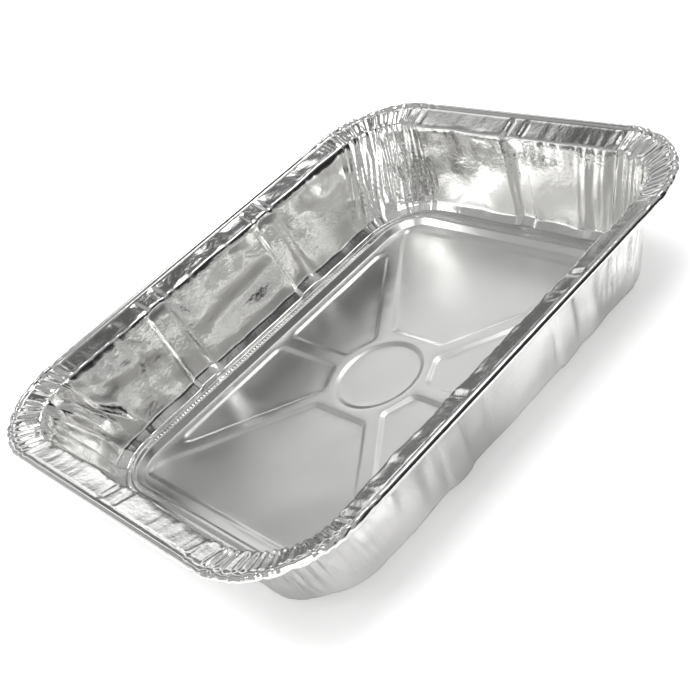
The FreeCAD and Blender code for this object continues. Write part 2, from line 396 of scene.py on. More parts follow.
# how rough each side is: the left wall most, the far wall least
sideRough = [1.0, 0.7, 1.0, 0.45]
roughColumns = np.array([between(sideRough[number - 1], sideRough[number], way) if inCorner
                         else sideRough[number] for number, inCorner, way in columns])


# Smooth noise round the lip that closes on itself, one value for each column.
def ringNoise(seed, pitch, level=0.0):
    radius = girth / pitch / (2 * math.pi)
    return np.array([noise.noise(Vector((radius * math.cos(turn), radius * math.sin(turn),
                                         seed * 7.9 + level)))
                     for turn in 2 * math.pi * travel / girth])


# 1 at the corners, falling to 0 along the sides.
def nearCorners(sizes):
    near = np.zeros(len(columns))
    for start in cornerStart:
        past = np.abs(pastPlace(start + cornerLength / 2)) - cornerLength / 2
        near = np.maximum(near, np.clip(sizes["cornerWide"] - past / sizes["cornerFade"], 0, 1))
    return near


cornerNear = nearCorners(rimSizes)


def roughenRim(sizes):
    depth, pitch = sizes["footWave"]
    footWave = depth * ringNoise(8, pitch)
    depth, pitch = sizes["lipWave"]
    lipWave = depth * ringNoise(1, pitch)
    depth, pitch = sizes["dimples"]
    dimples = depth * ringNoise(2, pitch)
    depth, pitch = sizes["flutter"]
    fine = ringNoise(3, pitch)
    dimples = dimples + depth * fine
    raggedDepth, raggedPitch = sizes["ragged"]
    raggedMean, raggedGain = sizes["raggedNoise"]
    crimpDepth, crimpPitch = sizes["crimps"]
    crimpMean, crimpGain = sizes["crimpNoise"]
    lumpDepth, lumpPitch = sizes["lumps"]
    calmCorners = (1 - 0.5 * cornerNear) * roughColumns ** 1.5
    for index, row in enumerate(rows):
        if row.zone == "foot":
            sideWays[index] += footWave * row.share
        elif row.zone == "wall":
            under = max(0.0, (row.share - sizes["raggedStart"]) / (1 - sizes["raggedStart"]))
            ragged = raggedMean + raggedGain * ringNoise(5, raggedPitch, row.share * 1.4)
            lift[index] -= raggedDepth * math.sin(math.pi * under ** 0.8) * ragged * calmCorners
            lift[index] += sizes["lipFlutter"] * fine * under
            sideWays[index] += lipWave * under ** 2
            sideWays[index] += footWave * max(0.0, 1 - row.share * sizes["footFade"])
        elif row.zone == "lip":
            sideWays[index] += lipWave
            lift[index] += sizes["lipFlutter"] * fine
        elif row.zone == "flange":
            sideWays[index] += lipWave * (1 - row.share) ** 2
            lift[index] += dimples * math.sin(math.pi * row.share)
        elif row.zone == "bead":
            crimps = crimpMean + crimpGain * np.abs(ringNoise(11, crimpPitch, row.share * 1.6))
            lumps = ringNoise(12, lumpPitch, row.share * 3.0)
            strength = between(sizes["sideBead"], 1.0, cornerNear ** 1.5)
            lift[index] += (crimpDepth * crimps + lumpDepth * lumps) * strength


roughenRim(rimSizes)


# Lens-shaped dimples across the flange between the corners, with a share of the depth for each
# side. Pitch, half width and depth are multiplied by draws from the ranges.
lensSizes = {
    "pitch": 7.5,
    "pitchRange": (0.5, 1.5),
    "depth": 1.2,
    "depthRange": (0.1, 1.0),
    "halfWidth": 1.3,
    "widthRange": (0.7, 1.6),
    "tilt": 3.5,
    "shares": [0.35, 0.4, 0.45, 0.12],
    "seed": 31,
}


def pressLenses(sizes):
    chance = random.Random(sizes["seed"])
    sideShare = np.array([sizes["shares"][number] for number, _, _ in columns])
    place = 0.0
    while place < girth:
        place += sizes["pitch"] * chance.uniform(*sizes["pitchRange"])
        depth = sizes["depth"] * chance.uniform(*sizes["depthRange"]) ** 2
        half = sizes["halfWidth"] * chance.uniform(*sizes["widthRange"])
        tilt = sizes["tilt"] * chance.uniform(-1.0, 1.0)
        for index, row in enumerate(rows):
            if row.zone == "flange":
                away = pastPlace(place + tilt * (row.share - 0.5))
                lens = math.sin(math.pi * row.share) * np.exp(-(away / half) ** 2)
                lift[index] -= depth * lens * (1 - cornerNear) * sideShare


pressLenses(lensSizes)


# Pinched creases cross the lip and the flange beside each wall rib, one deeper than the other.
pinchSizes = {
    "halfWidth": 1.0,
    "beside": 2.0,
    "depths": ((-1, 0.9), (1, 1.5)),
    "end": 0.9,
}


def pressPinches(sizes):
    for side, middle, width, _ in wallRibs["ribs"]:
        for edge, depth in sizes["depths"]:
            spot = middle + edge * (width / 2 - sizes["beside"])
            gap = np.where(sideColumns[side], np.abs(flat[lipRow, :, side % 2] - spot), girth)
            pinch = depth * np.exp(-(gap / sizes["halfWidth"]) ** 2)
            for index, row in enumerate(rows):
                if row.zone == "lip" or (row.zone == "flange" and row.share < sizes["end"]):
                    lift[index] -= pinch


pressPinches(pinchSizes)
print("rim crimped")


# Dents in the walls: side (the corner number that it follows), place along the side in mm, share
# of the wall's height, half sizes along in mm and up as a share, depth, and how far it leans.
dents = [
    (0, -96.0, 0.45, 12.0, 0.3, 1.0, 0.9),
    (0, -100.0, 0.72, 5.0, 0.08, 1.2, 0.0),
    (0, -2.0, 0.38, 34.0, 0.2, 1.2, 0.012),
    (0, -70.0, 0.30, 9.0, 0.3, 0.9, 0.0),
    (0, 60.0, 0.5, 10.0, 0.3, 0.9, 0.03),
    (2, -62.0, 0.35, 5.0, 0.5, -1.2, 0.06),
    (2, -84.0, 0.6, 4.0, 0.35, 1.3, 0.06),
    (2, -20.0, 0.55, 7.0, 0.4, 1.1, 0.09),
    (2, 8.0, 0.3, 16.0, 0.25, 1.2, 0.03),
    (2, 66.0, 0.4, 6.0, 0.5, 1.2, -0.06),
    (2, 88.0, 0.6, 5.0, 0.3, -1.0, -0.06),
    (3, 40.0, 0.5, 14.0, 0.3, 0.8, 0.0),
    (1, -30.0, 0.5, 14.0, 0.3, 0.9, 0.0),
]
dentFall = 1.6    # how quickly a dent ends


def pressDents():
    for side, place, level, halfAlong, halfUp, depth, lean in dents:
        for index, row in enumerate(rows):
            if row.zone == "wall":
                up = (row.share - level) / halfUp
                along = (flat[index, :, side % 2] - place) / halfAlong - up * lean
                dent = depth * np.exp(-dentFall * (along ** 2 + up ** 2))
                lift[index] -= np.where(sideColumns[side], dent, 0.0)


pressDents()


# Sharp creases in the walls, each from one spot to another, and its depth. A spot is the corner
# it is counted from, the way round the lip from there in mm, and the share of the wall's height.
creaseSizes = {"halfWidth": 1.3, "wallRise": 56.0}
creases = [
    ((2, 12.0, 0.6), (2, 17.0, 0.1), 0.5),
    ((2, 18.0, 0.8), (2, 28.0, 0.15), 0.7),
    ((2, 25.0, 0.75), (2, 30.0, 0.45), 0.5),
    ((2, 35.0, 0.85), (2, 42.0, 0.3), 0.5),
    ((2, 57.0, 0.88), (2, 74.0, 0.4), 0.8),
    ((2, 66.0, 0.72), (2, 84.0, 0.6), 0.6),
    ((2, 250.0, 0.8), (2, 244.0, 0.3), 0.7),
    ((2, 262.0, 0.75), (2, 254.0, 0.15), 0.7),
    ((3, 6.0, 0.8), (3, 3.0, 0.2), 0.6),
    ((3, 131.0, 0.97), (3, 123.0, 0.6), 0.6),
    ((3, 133.0, 0.95), (3, 132.0, 0.5), 0.6),
    ((3, 137.0, 0.97), (3, 144.0, 0.64), 0.6),
    ((0, 205.0, 0.98), (0, 197.0, 0.7), 0.7),
    ((0, 209.0, 0.96), (0, 208.0, 0.72), 0.6),
    ((0, 214.0, 0.98), (0, 221.0, 0.72), 0.7),
    ((0, 119.0, 0.97), (0, 112.0, 0.72), 0.6),
    ((0, 127.0, 0.96), (0, 133.0, 0.66), 0.6),
    ((0, 238.0, 0.7), (0, 252.0, 0.2), 0.9),
    ((0, 230.0, 0.55), (0, 236.0, 0.1), 0.8),
    ((0, 262.0, 0.85), (0, 240.0, 0.75), 0.8),
]


def pressCreases(sizes):
    for start, end, depth in creases:
        (startPlace, startUp), (endPlace, endUp) = [
            (cornerStart[corner] + way, level * sizes["wallRise"]) for corner, way, level in (start, end)]
        line = np.array([endPlace - startPlace, endUp - startUp])
        for index, row in enumerate(rows):
            if row.zone == "wall":
                across = pastPlace(startPlace)
                up = row.share * sizes["wallRise"] - startUp
                along = np.clip((across * line[0] + up * line[1]) / line.dot(line), 0, 1)
                away = np.hypot(across - along * line[0], up - along * line[1])
                lift[index] -= depth * np.clip(1 - away / sizes["halfWidth"], 0, 1)


pressCreases(creaseSizes)
print("walls dented and creased")


# Points of the sheet's upper side: each row's ring, with all the pushes added.
def sheetPoints():
    run = np.gradient(np.array([row.reach for row in rows]))
    climb = np.gradient(np.array([row.height for row in rows]))
    length = np.hypot(run, climb)
    points = np.zeros((len(rows), len(columns), 3))
    for index, row in enumerate(rows):
        push = sideWays[index] + ribPush[index] - lift[index] * climb[index] / length[index]
        points[index, :, :2] = flat[index] + outward * push[:, None]
        points[index, :, 2] = row.height + lift[index] * run[index] / length[index]
    return points


points = sheetPoints()


# The floor: six panels and a disc are sunk between raised ribs, and each slope follows the
# panel's outline, a polygon of sides (facing angle, distance) with round corners.
floorSizes = {
    "sunk": 0.3,
    "margin": 4.5,
    "corner": 2.5,
    "cornerSteps": 6,
    "slope": 3.5,
    "slopeProfile": ((0.0, 0.0), (0.14, 0.06), (0.5, 0.5), (0.86, 0.94), (1.0, 1.0)),
    "discRadius": 23.3,
    "discSteps": 72,
    "ringCrest": 3.5,
    "ringAngle": 64.0,
    "ribCrest": 6.3,
    "diagonal": 39.4,
    "pitch": 2.6,
    "grid": 5.5,
    "gridRow": 0.87,
    "gridCounts": (26, 20),
    "clearEdge": 2.2,
    "clearLand": 1.0,
    "clearPanel": 1.5,
    "crown": 0.35,
    "swell": 0.18,
    "swellSpan": (38.0, 30.0),
    "ripple": 0.05,
    "rippleSpan": (16.0, 14.0),
    "calmEdge": 8.0,
}


def floorPanels(sizes):
    length = halfLength + rows[0].reach - sizes["margin"]
    width = halfWidth + rows[0].reach - sizes["margin"]
    ring = sizes["discRadius"] + sizes["slope"] + sizes["ringCrest"]
    crest = sizes["ribCrest"] / 2
    side = [(sizes["diagonal"] - 90, -crest), (90, width), (180, -crest), (180 + sizes["ringAngle"], -ring)]
    end = [(0, length), (90 + sizes["diagonal"], -crest), (180, -ring), (270 - sizes["diagonal"], -crest)]
    panels = []
    for flipX in (False, True):
        for outline, flips in ((side, (False, True)), (end, (False,))):
            for flipY in flips:
                turned = [((180 - angle if flipX else angle), reach) for angle, reach in outline]
                turned = [((-angle if flipY else angle) % 360, reach) for angle, reach in turned]
                panels.append(turned[::-1] if flipX != flipY else turned)
    return panels


def lineCrossing(one, two):
    a, b = math.radians(one[0]), math.radians(two[0])
    spread = math.sin(b - a)
    return ((one[1] * math.sin(b) - two[1] * math.sin(a)) / spread,
            (two[1] * math.cos(a) - one[1] * math.cos(b)) / spread)


# Points along the straight stretches of a closed loop, about pitch apart.
def spacedLoop(loop, pitch):
    spaced = []
    for one, two in zip(loop, loop[1:] + loop[:1]):
        count = max(1, round(math.dist(one, two) / pitch))
        spaced += [(between(one[0], two[0], step / count), between(one[1], two[1], step / count))
                   for step in range(count)]
    return spaced


def panelLoop(sides, sizes, inset):
    rounding = sizes["corner"] + sizes["slope"]
    radius = rounding - inset
    cores = [(angle, reach - rounding) for angle, reach in sides]
    loop = []
    for one, two in zip(cores, cores[1:] + cores[:1]):
        x, y = lineCrossing(one, two)
        turn = (two[0] - one[0]) % 360
        for number in range(sizes["cornerSteps"] + 1):
            angle = math.radians(one[0] + turn * number / sizes["cornerSteps"])
            loop.append((x + radius * math.cos(angle), y + radius * math.sin(angle)))
    return spacedLoop(loop, sizes["pitch"])


def discLoop(sizes, inset):
    radius = sizes["discRadius"] + sizes["slope"] - inset
    angles = [2 * math.pi * step / sizes["discSteps"] for step in range(sizes["discSteps"])]
    return [(radius * math.cos(angle), radius * math.sin(angle)) for angle in angles]


# How far a point lies past the straight stretches of the floor's outline, towards a corner.
def pastCore(x, y):
    base = rows[0]
    return math.hypot(max(0.0, abs(x) - (halfLength + base.reach - base.radius)),
                      max(0.0, abs(y) - (halfWidth + base.reach - base.radius)))


# The floor's level at a point: sunk in a panel, raised on the land, none on or near a slope.
def plainLevel(panels, sizes, x, y):
    away = math.hypot(x, y) - sizes["discRadius"]
    if away < -sizes["clearLand"]:
        return sizes["sunk"]
    if away < sizes["slope"] + sizes["clearLand"]:
        return None
    for outline in panels:
        into = max(x * math.cos(math.radians(angle)) + y * math.sin(math.radians(angle)) - reach
                   for angle, reach in outline)
        if into < -sizes["slope"] - sizes["clearPanel"]:
            return sizes["sunk"]
        if into < sizes["clearLand"]:
            return None
    return sectionSizes["landHeight"]


# Points and triangles of the floor inside the lowest row, and that row's point numbers.
def floorMesh(sizes):
    land, sunk = sectionSizes["landHeight"], sizes["sunk"]
    spots, levels, edges = [], [], []

    def addLoop(loop, level):
        first, count = len(spots), len(loop)
        spots.extend(loop)
        levels.extend([level] * count)
        edges.extend((first + number, first + (number + 1) % count) for number in range(count))

    addLoop([tuple(spot) for spot in flat[0]], land)
    panels = floorPanels(sizes)
    for outline in panels + [None]:
        for way, fall in sizes["slopeProfile"]:
            inset = sizes["slope"] * way
            loop = panelLoop(outline, sizes, inset) if outline else discLoop(sizes, inset)
            addLoop(loop, between(land, sunk, fall))
    grid = sizes["grid"]
    countX, countY = sizes["gridCounts"]
    for stepX in range(-countX, countX + 1):
        for stepY in range(-countY, countY + 1):
            x, y = stepX * grid + (stepY % 2) * grid / 2, stepY * grid * sizes["gridRow"]
            if pastCore(x, y) > rows[0].radius - sizes["clearEdge"]:
                continue
            level = plainLevel(panels, sizes, x, y)
            if level is not None:
                spots.append((x, y))
                levels.append(level)

    def rolling(place, span, seed):
        return noise.noise(Vector((place.x / span[0], place.y / span[1], seed)))

    made, _, faces, origins, _, _ = delaunay_2d_cdt([Vector(spot) for spot in spots], edges, [], 1, 1e-5)
    vertices = []
    for place, origin in zip(made, origins):
        z = levels[origin[0]] if origin else land
        crown = sizes["crown"] * (land - z) / (land - sunk)
        swell = rolling(place, sizes["swellSpan"], 4.2)
        ripple = rolling(place, sizes["rippleSpan"], 9.1)
        calm = min(1.0, max(0.0, (rows[0].radius - pastCore(place.x, place.y)) / sizes["calmEdge"]))
        z += (crown * (0.5 + swell) + sizes["swell"] * swell + sizes["ripple"] * ripple) * calm
        vertices.append((place.x, place.y, max(z, sunk)))
    ring = {source: index for index, origin in enumerate(origins)
            for source in origin if source < len(columns)}
    return vertices, [tuple(face) for face in faces], ring


# A plain mesh of what the modifiers make, in place of the draft.
def applied(draft, name):
    graph = bpy.context.evaluated_depsgraph_get()
    mesh = bpy.data.meshes.new_from_object(draft.evaluated_get(graph))
    made = bpy.data.objects.new(name, mesh)
    scene.collection.objects.link(made)
    bpy.data.objects.remove(draft)
    return made


# Satin is 1 where the foil is dull and 0 where it shines, and crumple how much it is crumpled.
zoneSatin = {"step": 0.9, "shoulder": 0.7, "foot": 0.3}
zoneCrumple = {"foot": 0.1, "wall": 1.0, "lip": 0.5, "flange": 0.1}
wallSmooth = 6.0    # the crumples begin over this part of the wall's height


def addAttribute(mesh, name, values):
    attribute = mesh.attributes.new(name, "FLOAT", "POINT")
    attribute.data.foreach_set("value", values)


def makeSheet():
    floorPoints, faces, ring = floorMesh(floorSizes)
    print("floor", len(floorPoints), len(faces))
    vertices = list(floorPoints)
    numbers = np.zeros((len(rows), len(columns)), dtype=int)
    for column in range(len(columns)):
        numbers[0, column] = ring[column]
        vertices[ring[column]] = tuple(points[0, column])
    for index in range(1, len(rows)):
        numbers[index] = np.arange(len(vertices), len(vertices) + len(columns))
        vertices += [tuple(point) for point in points[index]]
    following = np.roll(numbers, -1, axis=1)
    for index in range(len(rows) - 1):
        for a, b, c, d in zip(numbers[index], following[index], following[index + 1], numbers[index + 1]):
            faces.append((int(a), int(d), int(c), int(b)))
    mesh = bpy.data.meshes.new("foilSheet")
    mesh.from_pydata([tuple(value * mm for value in vertex) for vertex in vertices], [], faces)
    mesh.validate()
    mesh.shade_smooth()

    satin = np.zeros(len(vertices))
    crumple = np.zeros(len(vertices))
    satin[:len(floorPoints)] = 1.0
    for index, row in enumerate(rows):
        if index:
            satin[numbers[index]] = zoneSatin.get(row.zone, 0.0)
        weight = zoneCrumple.get(row.zone, 0.0)
        if row.zone == "wall":
            weight *= min(1.0, row.share * wallSmooth)
        crumple[numbers[index]] = weight * roughColumns * ribCalm
    addAttribute(mesh, "satin", satin)
    addAttribute(mesh, "crumple", crumple)
    draft = bpy.data.objects.new("foilSheetDraft", mesh)
    scene.collection.objects.link(draft)
    return draft


sheetDraft = makeSheet()
print("sheet drafted", len(sheetDraft.data.polygons))


# Helpers for node trees. A value is a number, a colour or another node's socket.
def feed(tree, socket, value):
    if isinstance(value, bpy.types.NodeSocket):
        tree.links.new(value, socket)
    elif value is not None:
        socket.default_value = value


def calculate(tree, operation, *values):
    node = tree.nodes.new("ShaderNodeMath")
    node.operation = operation
    for socket, value in zip(node.inputs, values):
        feed(tree, socket, value)
    return node.outputs[0]


def vectorNode(tree, operation, *values):
    node = tree.nodes.new("ShaderNodeVectorMath")
    node.operation = operation
    for socket, value in zip(node.inputs, values):
        feed(tree, socket, value)
    return node


def remap(tree, value, given, wanted, kind="LINEAR"):
    node = tree.nodes.new("ShaderNodeMapRange")
    node.interpolation_type = kind
    feed(tree, node.inputs["Value"], value)
    for name, end in zip(("From Min", "From Max", "To Min", "To Max"), given + wanted):
        node.inputs[name].default_value = end
    return node.outputs[0]


def cloudNoise(tree, place, scale, detail, shift=None):
    node = tree.nodes.new("ShaderNodeTexNoise")
    if shift is not None:
        node.noise_dimensions = "4D"
        feed(tree, node.inputs["W"], shift)
    feed(tree, node.inputs["Vector"], place)
    feed(tree, node.inputs["Scale"], scale)
    feed(tree, node.inputs["Detail"], detail)
    return node.outputs["Fac"]


def freshMaterial(name):
    material = bpy.data.materials.new(name)
    material.use_nodes = True
    material.node_tree.nodes.clear()
    return material, material.node_tree


# A geometry tree with one named input for each size.
def freshTree(name, sizes):
    tree = bpy.data.node_groups.new(name, "GeometryNodeTree")
    tree.interface.new_socket("Geometry", in_out="INPUT", socket_type="NodeSocketGeometry")
    for title, value in sizes.items():
        socket = tree.interface.new_socket(title, in_out="INPUT", socket_type="NodeSocketFloat")
        socket.default_value = value
    tree.interface.new_socket("Geometry", in_out="OUTPUT", socket_type="NodeSocketGeometry")
    return tree, tree.nodes.new("NodeGroupInput").outputs


def finishTree(tree, geometry, material):
    real = tree.nodes.new("GeometryNodeRealizeInstances")
    smooth = tree.nodes.new("GeometryNodeSetShadeSmooth")
    paint = tree.nodes.new("GeometryNodeSetMaterial")
    paint.inputs["Material"].default_value = material
    made = tree.nodes.new("NodeGroupOutput")
    tree.links.new(geometry, real.inputs["Geometry"])
    tree.links.new(real.outputs[0], smooth.inputs["Geometry"])
    tree.links.new(smooth.outputs[0], paint.inputs["Geometry"])
    tree.links.new(paint.outputs[0], made.inputs[0])


def addTree(draft, name, tree, sizes):
    modifier = draft.modifiers.new(name, "NODES")
    modifier.node_group = tree
    sockets = {item.name: item.identifier for item in tree.interface.items_tree
               if item.in_out == "INPUT"}
    for title, value in sizes.items():
        modifier[sockets[title]] = value


# Foil: bright and nearly smooth on the walls, satin on the floor, with fine rolling streaks.
foilSizes = {
    "color": (0.862, 0.86, 0.846, 1.0),
    "wallRoughness": 0.07,
    "floorRoughness": 0.27,
    "hazeScale": 30.0,
    "hazeRoughness": 0.08,
    "crinkleScale": 420.0,
    "crinkleBump": 0.12,
    "crinkleHeight": 0.001,
    "satinCalm": -0.85,
    "streakScale": (2600.0, 60.0, 60.0),
    "streakBump": 0.05,
    "streakHeight": 0.0005,
}


def bump(tree, height, strength, distance, under=None):
    node = tree.nodes.new("ShaderNodeBump")
    feed(tree, node.inputs["Strength"], strength)
    feed(tree, node.inputs["Distance"], distance)
    feed(tree, node.inputs["Height"], height)
    feed(tree, node.inputs["Normal"], under)
    return node.outputs[0]


def foilMaterial(sizes):
    material, tree = freshMaterial("foil")
    out = tree.nodes.new("ShaderNodeOutputMaterial")
    shader = tree.nodes.new("ShaderNodeBsdfPrincipled")
    tree.links.new(shader.outputs[0], out.inputs["Surface"])
    shader.inputs["Base Color"].default_value = sizes["color"]
    shader.inputs["Metallic"].default_value = 1.0
    place = tree.nodes.new("ShaderNodeTexCoord").outputs["Object"]
    attribute = tree.nodes.new("ShaderNodeAttribute")
    attribute.attribute_name = "satin"
    satin = attribute.outputs["Fac"]

    haze = cloudNoise(tree, place, sizes["hazeScale"], 3.0)
    rough = remap(tree, satin, (0.0, 1.0), (sizes["wallRoughness"], sizes["floorRoughness"]))
    rough = calculate(tree, "MULTIPLY_ADD", haze, sizes["hazeRoughness"], rough)
    tree.links.new(rough, shader.inputs["Roughness"])

    # the crinkles are calmed where the foil is satin
    crinkle = cloudNoise(tree, place, sizes["crinkleScale"], 4.0)
    calm = calculate(tree, "MULTIPLY_ADD", satin, sizes["satinCalm"], 1.0)
    relief = calculate(tree, "MULTIPLY", crinkle, calm)
    stretch = tree.nodes.new("ShaderNodeMapping")
    stretch.inputs["Scale"].default_value = sizes["streakScale"]
    tree.links.new(place, stretch.inputs["Vector"])
    streak = cloudNoise(tree, stretch.outputs[0], 1.0, 2.0)
    crinkled = bump(tree, relief, sizes["crinkleBump"], sizes["crinkleHeight"])
    streaked = bump(tree, streak, sizes["streakBump"], sizes["streakHeight"], crinkled)
    tree.links.new(streaked, shader.inputs["Normal"])
    return material


foil = foilMaterial(foilSizes)


# Crumples in the walls, by geometry nodes: soft dents and two sizes of creased noise push each
# point along its normal.
crumpleSizes = {
    "Dent Depth": 0.0032,
    "Dent Scale": 30.0,
    "Depth": 0.00045,
    "Scale": 60.0,
    "Fine Depth": 0.00013,
    "Fine Scale": 190.0,
    "Seed": 3.0,
}
crumpleStretch = (0.5, 0.5, 1.15)    # they are longer along the walls than up them
creaseLevel = 0.12
creaseGain = 5.0


def crumpleTree(material):
    tree, given = freshTree("crumpleTree", crumpleSizes)
    position = tree.nodes.new("GeometryNodeInputPosition").outputs[0]
    place = vectorNode(tree, "MULTIPLY", position, crumpleStretch).outputs[0]

    def cloud(scale, shift):
        seed = calculate(tree, "ADD", given["Seed"], shift)
        return calculate(tree, "SUBTRACT", cloudNoise(tree, place, scale, 1.0, seed), 0.5)

    def creased(scale, depth, shift):
        ridge = calculate(tree, "ABSOLUTE", cloud(scale, shift))
        gain = calculate(tree, "MULTIPLY", depth, creaseGain)
        return calculate(tree, "MULTIPLY", calculate(tree, "SUBTRACT", creaseLevel, ridge), gain)

    weight = tree.nodes.new("GeometryNodeInputNamedAttribute")
    weight.data_type = "FLOAT"
    weight.inputs["Name"].default_value = "crumple"
    total = calculate(tree, "ADD", creased(given["Scale"], given["Depth"], 0.0),
                      creased(given["Fine Scale"], given["Fine Depth"], 7.0))
    dented = calculate(tree, "MULTIPLY", cloud(given["Dent Scale"], 11.0), given["Dent Depth"])
    total = calculate(tree, "ADD", total, dented)
    total = calculate(tree, "MULTIPLY", total, weight.outputs["Attribute"])
    push = vectorNode(tree, "SCALE", tree.nodes.new("GeometryNodeInputNormal").outputs[0])
    tree.links.new(total, push.inputs["Scale"])
    moved = tree.nodes.new("GeometryNodeSetPosition")
    tree.links.new(given["Geometry"], moved.inputs["Geometry"])
    tree.links.new(push.outputs[0], moved.inputs["Offset"])
    finishTree(tree, moved.outputs[0], material)
    return tree


def finishSheet(draft):
    addTree(draft, "crumple", crumpleTree(foil), crumpleSizes)
    wall = draft.modifiers.new("gauge", "SOLIDIFY")
    wall.thickness = sectionSizes["gauge"] * mm
    wall.offset = -1.0
    sheet = applied(draft, "foil_sheet")
    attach(sheet, "root")
    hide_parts("foil_tray")
    return sheet


sheet = finishSheet(sheetDraft)
print("sheet done", sum(len(face.vertices) - 2 for face in sheet.data.polygons), "triangles")


# The knurled edge: short teeth across the top of the step along both long sides.
knurlSizes = {
    "Length": 0.189,
    "Pitch": 0.0021,
    "Tooth Length": 0.0046,
    "Tooth Width": 0.0014,
    "Tooth Height": 0.0018,
}
knurlPlace = {"middle": -7.5, "reach": 1.7, "sunk": 0.1}    # mm, the reach from the step's top


# A tooth is a rounded bar: a low ball stretched across the strip.
def knurlTree(material):
    tree, given = freshTree("knurlTree", knurlSizes)
    lines = tree.nodes.new("GeometryNodeMeshToCurve")
    tree.links.new(given["Geometry"], lines.inputs["Mesh"])
    spread = tree.nodes.new("GeometryNodeCurveToPoints")
    spread.mode = "LENGTH"
    tree.links.new(lines.outputs["Curve"], spread.inputs["Curve"])
    tree.links.new(given["Pitch"], spread.inputs["Length"])
    ball = tree.nodes.new("GeometryNodeMeshUVSphere")
    ball.inputs["Segments"].default_value = 8
    ball.inputs["Rings"].default_value = 5
    ball.inputs["Radius"].default_value = 0.5
    stretch = tree.nodes.new("ShaderNodeCombineXYZ")
    for axis, name in zip("XYZ", ("Tooth Width", "Tooth Length", "Tooth Height")):
        tree.links.new(given[name], stretch.inputs[axis])
    place = tree.nodes.new("GeometryNodeInstanceOnPoints")
    tree.links.new(spread.outputs["Points"], place.inputs["Points"])
    tree.links.new(ball.outputs["Mesh"], place.inputs["Instance"])
    tree.links.new(stretch.outputs[0], place.inputs["Scale"])
    finishTree(tree, place.outputs[0], material)
    return tree


def makeKnurl(place):
    across = (halfWidth + sectionSizes["stepReach"] + place["reach"]) * mm
    level = (sectionSizes["shoulderHeight"] - place["sunk"]) * mm
    ends = [(place["middle"] * mm + end * knurlSizes["Length"] / 2, side * across, level)
            for side in (1, -1) for end in (-1, 1)]
    mesh = bpy.data.meshes.new("knurlLines")
    mesh.from_pydata(ends, [(0, 1), (2, 3)], [])
    draft = bpy.data.objects.new("knurlLines", mesh)
    scene.collection.objects.link(draft)
    addTree(draft, "knurl", knurlTree(foil), knurlSizes)
    knurl = applied(draft, "knurled_edge")
    # the ball leaves an empty slot before the foil's
    knurl.data.materials.clear()
    knurl.data.materials.append(foil)
    for face in knurl.data.polygons:
        face.material_index = 0
    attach(knurl, "root")
    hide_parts("foil_tray")
    return knurl


knurl = makeKnurl(knurlPlace)
print("knurled edge done", len(knurl.data.polygons))


# A plain pale floor that keeps the shadow. The camera sees it glow, more so far from the tray. The foil's
# reflections see it with painted shade: darker and lighter patches, growing darker away from the tray.
groundSizes = {
    "half": 3.0,
    "below": 0.0003,
    "color": 0.88,
    "glowReach": (0.7, 1.8),
    "glow": (0.35, 1.1),
    "foilGlow": 0.55,
    "patchScale": 9.0,
    "patchEdge": (0.42, 0.56),
    "patches": (0.5, 1.0),
    "reflectedShadeReach": (0.45, 0.9),
    "fade": (1.0, 0.2),
}


def groundMaterial(sizes):
    material, tree = freshMaterial("paleGround")
    place = tree.nodes.new("ShaderNodeTexCoord").outputs["Object"]
    away = vectorNode(tree, "LENGTH", place).outputs["Value"]
    # painted shade seen only in the foil's reflections: lighter and darker patches, darker away from the
    # tray
    patches = remap(tree, cloudNoise(tree, place, sizes["patchScale"], 1.0),
                    sizes["patchEdge"], sizes["patches"])
    fade = remap(tree, away, sizes["reflectedShadeReach"], sizes["fade"])
    path = tree.nodes.new("ShaderNodeLightPath")
    tone = tree.nodes.new("ShaderNodeMix")
    feed(tree, tone.inputs["Factor"], path.outputs["Is Glossy Ray"])
    feed(tree, tone.inputs["A"], sizes["color"])
    feed(tree, tone.inputs["B"], calculate(tree, "MULTIPLY", patches, fade))
    cloth = tree.nodes.new("ShaderNodeBsdfDiffuse")
    tree.links.new(tone.outputs["Result"], cloth.inputs["Color"])
    glow = tree.nodes.new("ShaderNodeEmission")
    tree.links.new(remap(tree, away, sizes["glowReach"], sizes["glow"]), glow.inputs["Strength"])
    add = tree.nodes.new("ShaderNodeAddShader")
    tree.links.new(cloth.outputs[0], add.inputs[0])
    tree.links.new(glow.outputs[0], add.inputs[1])
    seen = calculate(tree, "MULTIPLY_ADD", path.outputs["Is Glossy Ray"], sizes["foilGlow"],
                     path.outputs["Is Camera Ray"])
    mix = tree.nodes.new("ShaderNodeMixShader")
    tree.links.new(seen, mix.inputs[0])
    tree.links.new(cloth.outputs[0], mix.inputs[1])
    tree.links.new(add.outputs[0], mix.inputs[2])
    out = tree.nodes.new("ShaderNodeOutputMaterial")
    tree.links.new(mix.outputs[0], out.inputs["Surface"])
    return material


def makeGround(sizes):
    half, level = sizes["half"], -sizes["below"]
    mesh = bpy.data.meshes.new("ground")
    mesh.from_pydata([(x * half, y * half, level) for x, y in ((-1, -1), (1, -1), (1, 1), (-1, 1))],
                     [], [(0, 1, 2, 3)])
    mesh.materials.append(groundMaterial(sizes))
    ground = bpy.data.objects.new("ground", mesh)
    scene.collection.objects.link(ground)


makeGround(groundSizes)


# A white world, dimmer where it only lights what stands in it.
worldSizes = {"seen": 1.0, "light": 0.44}


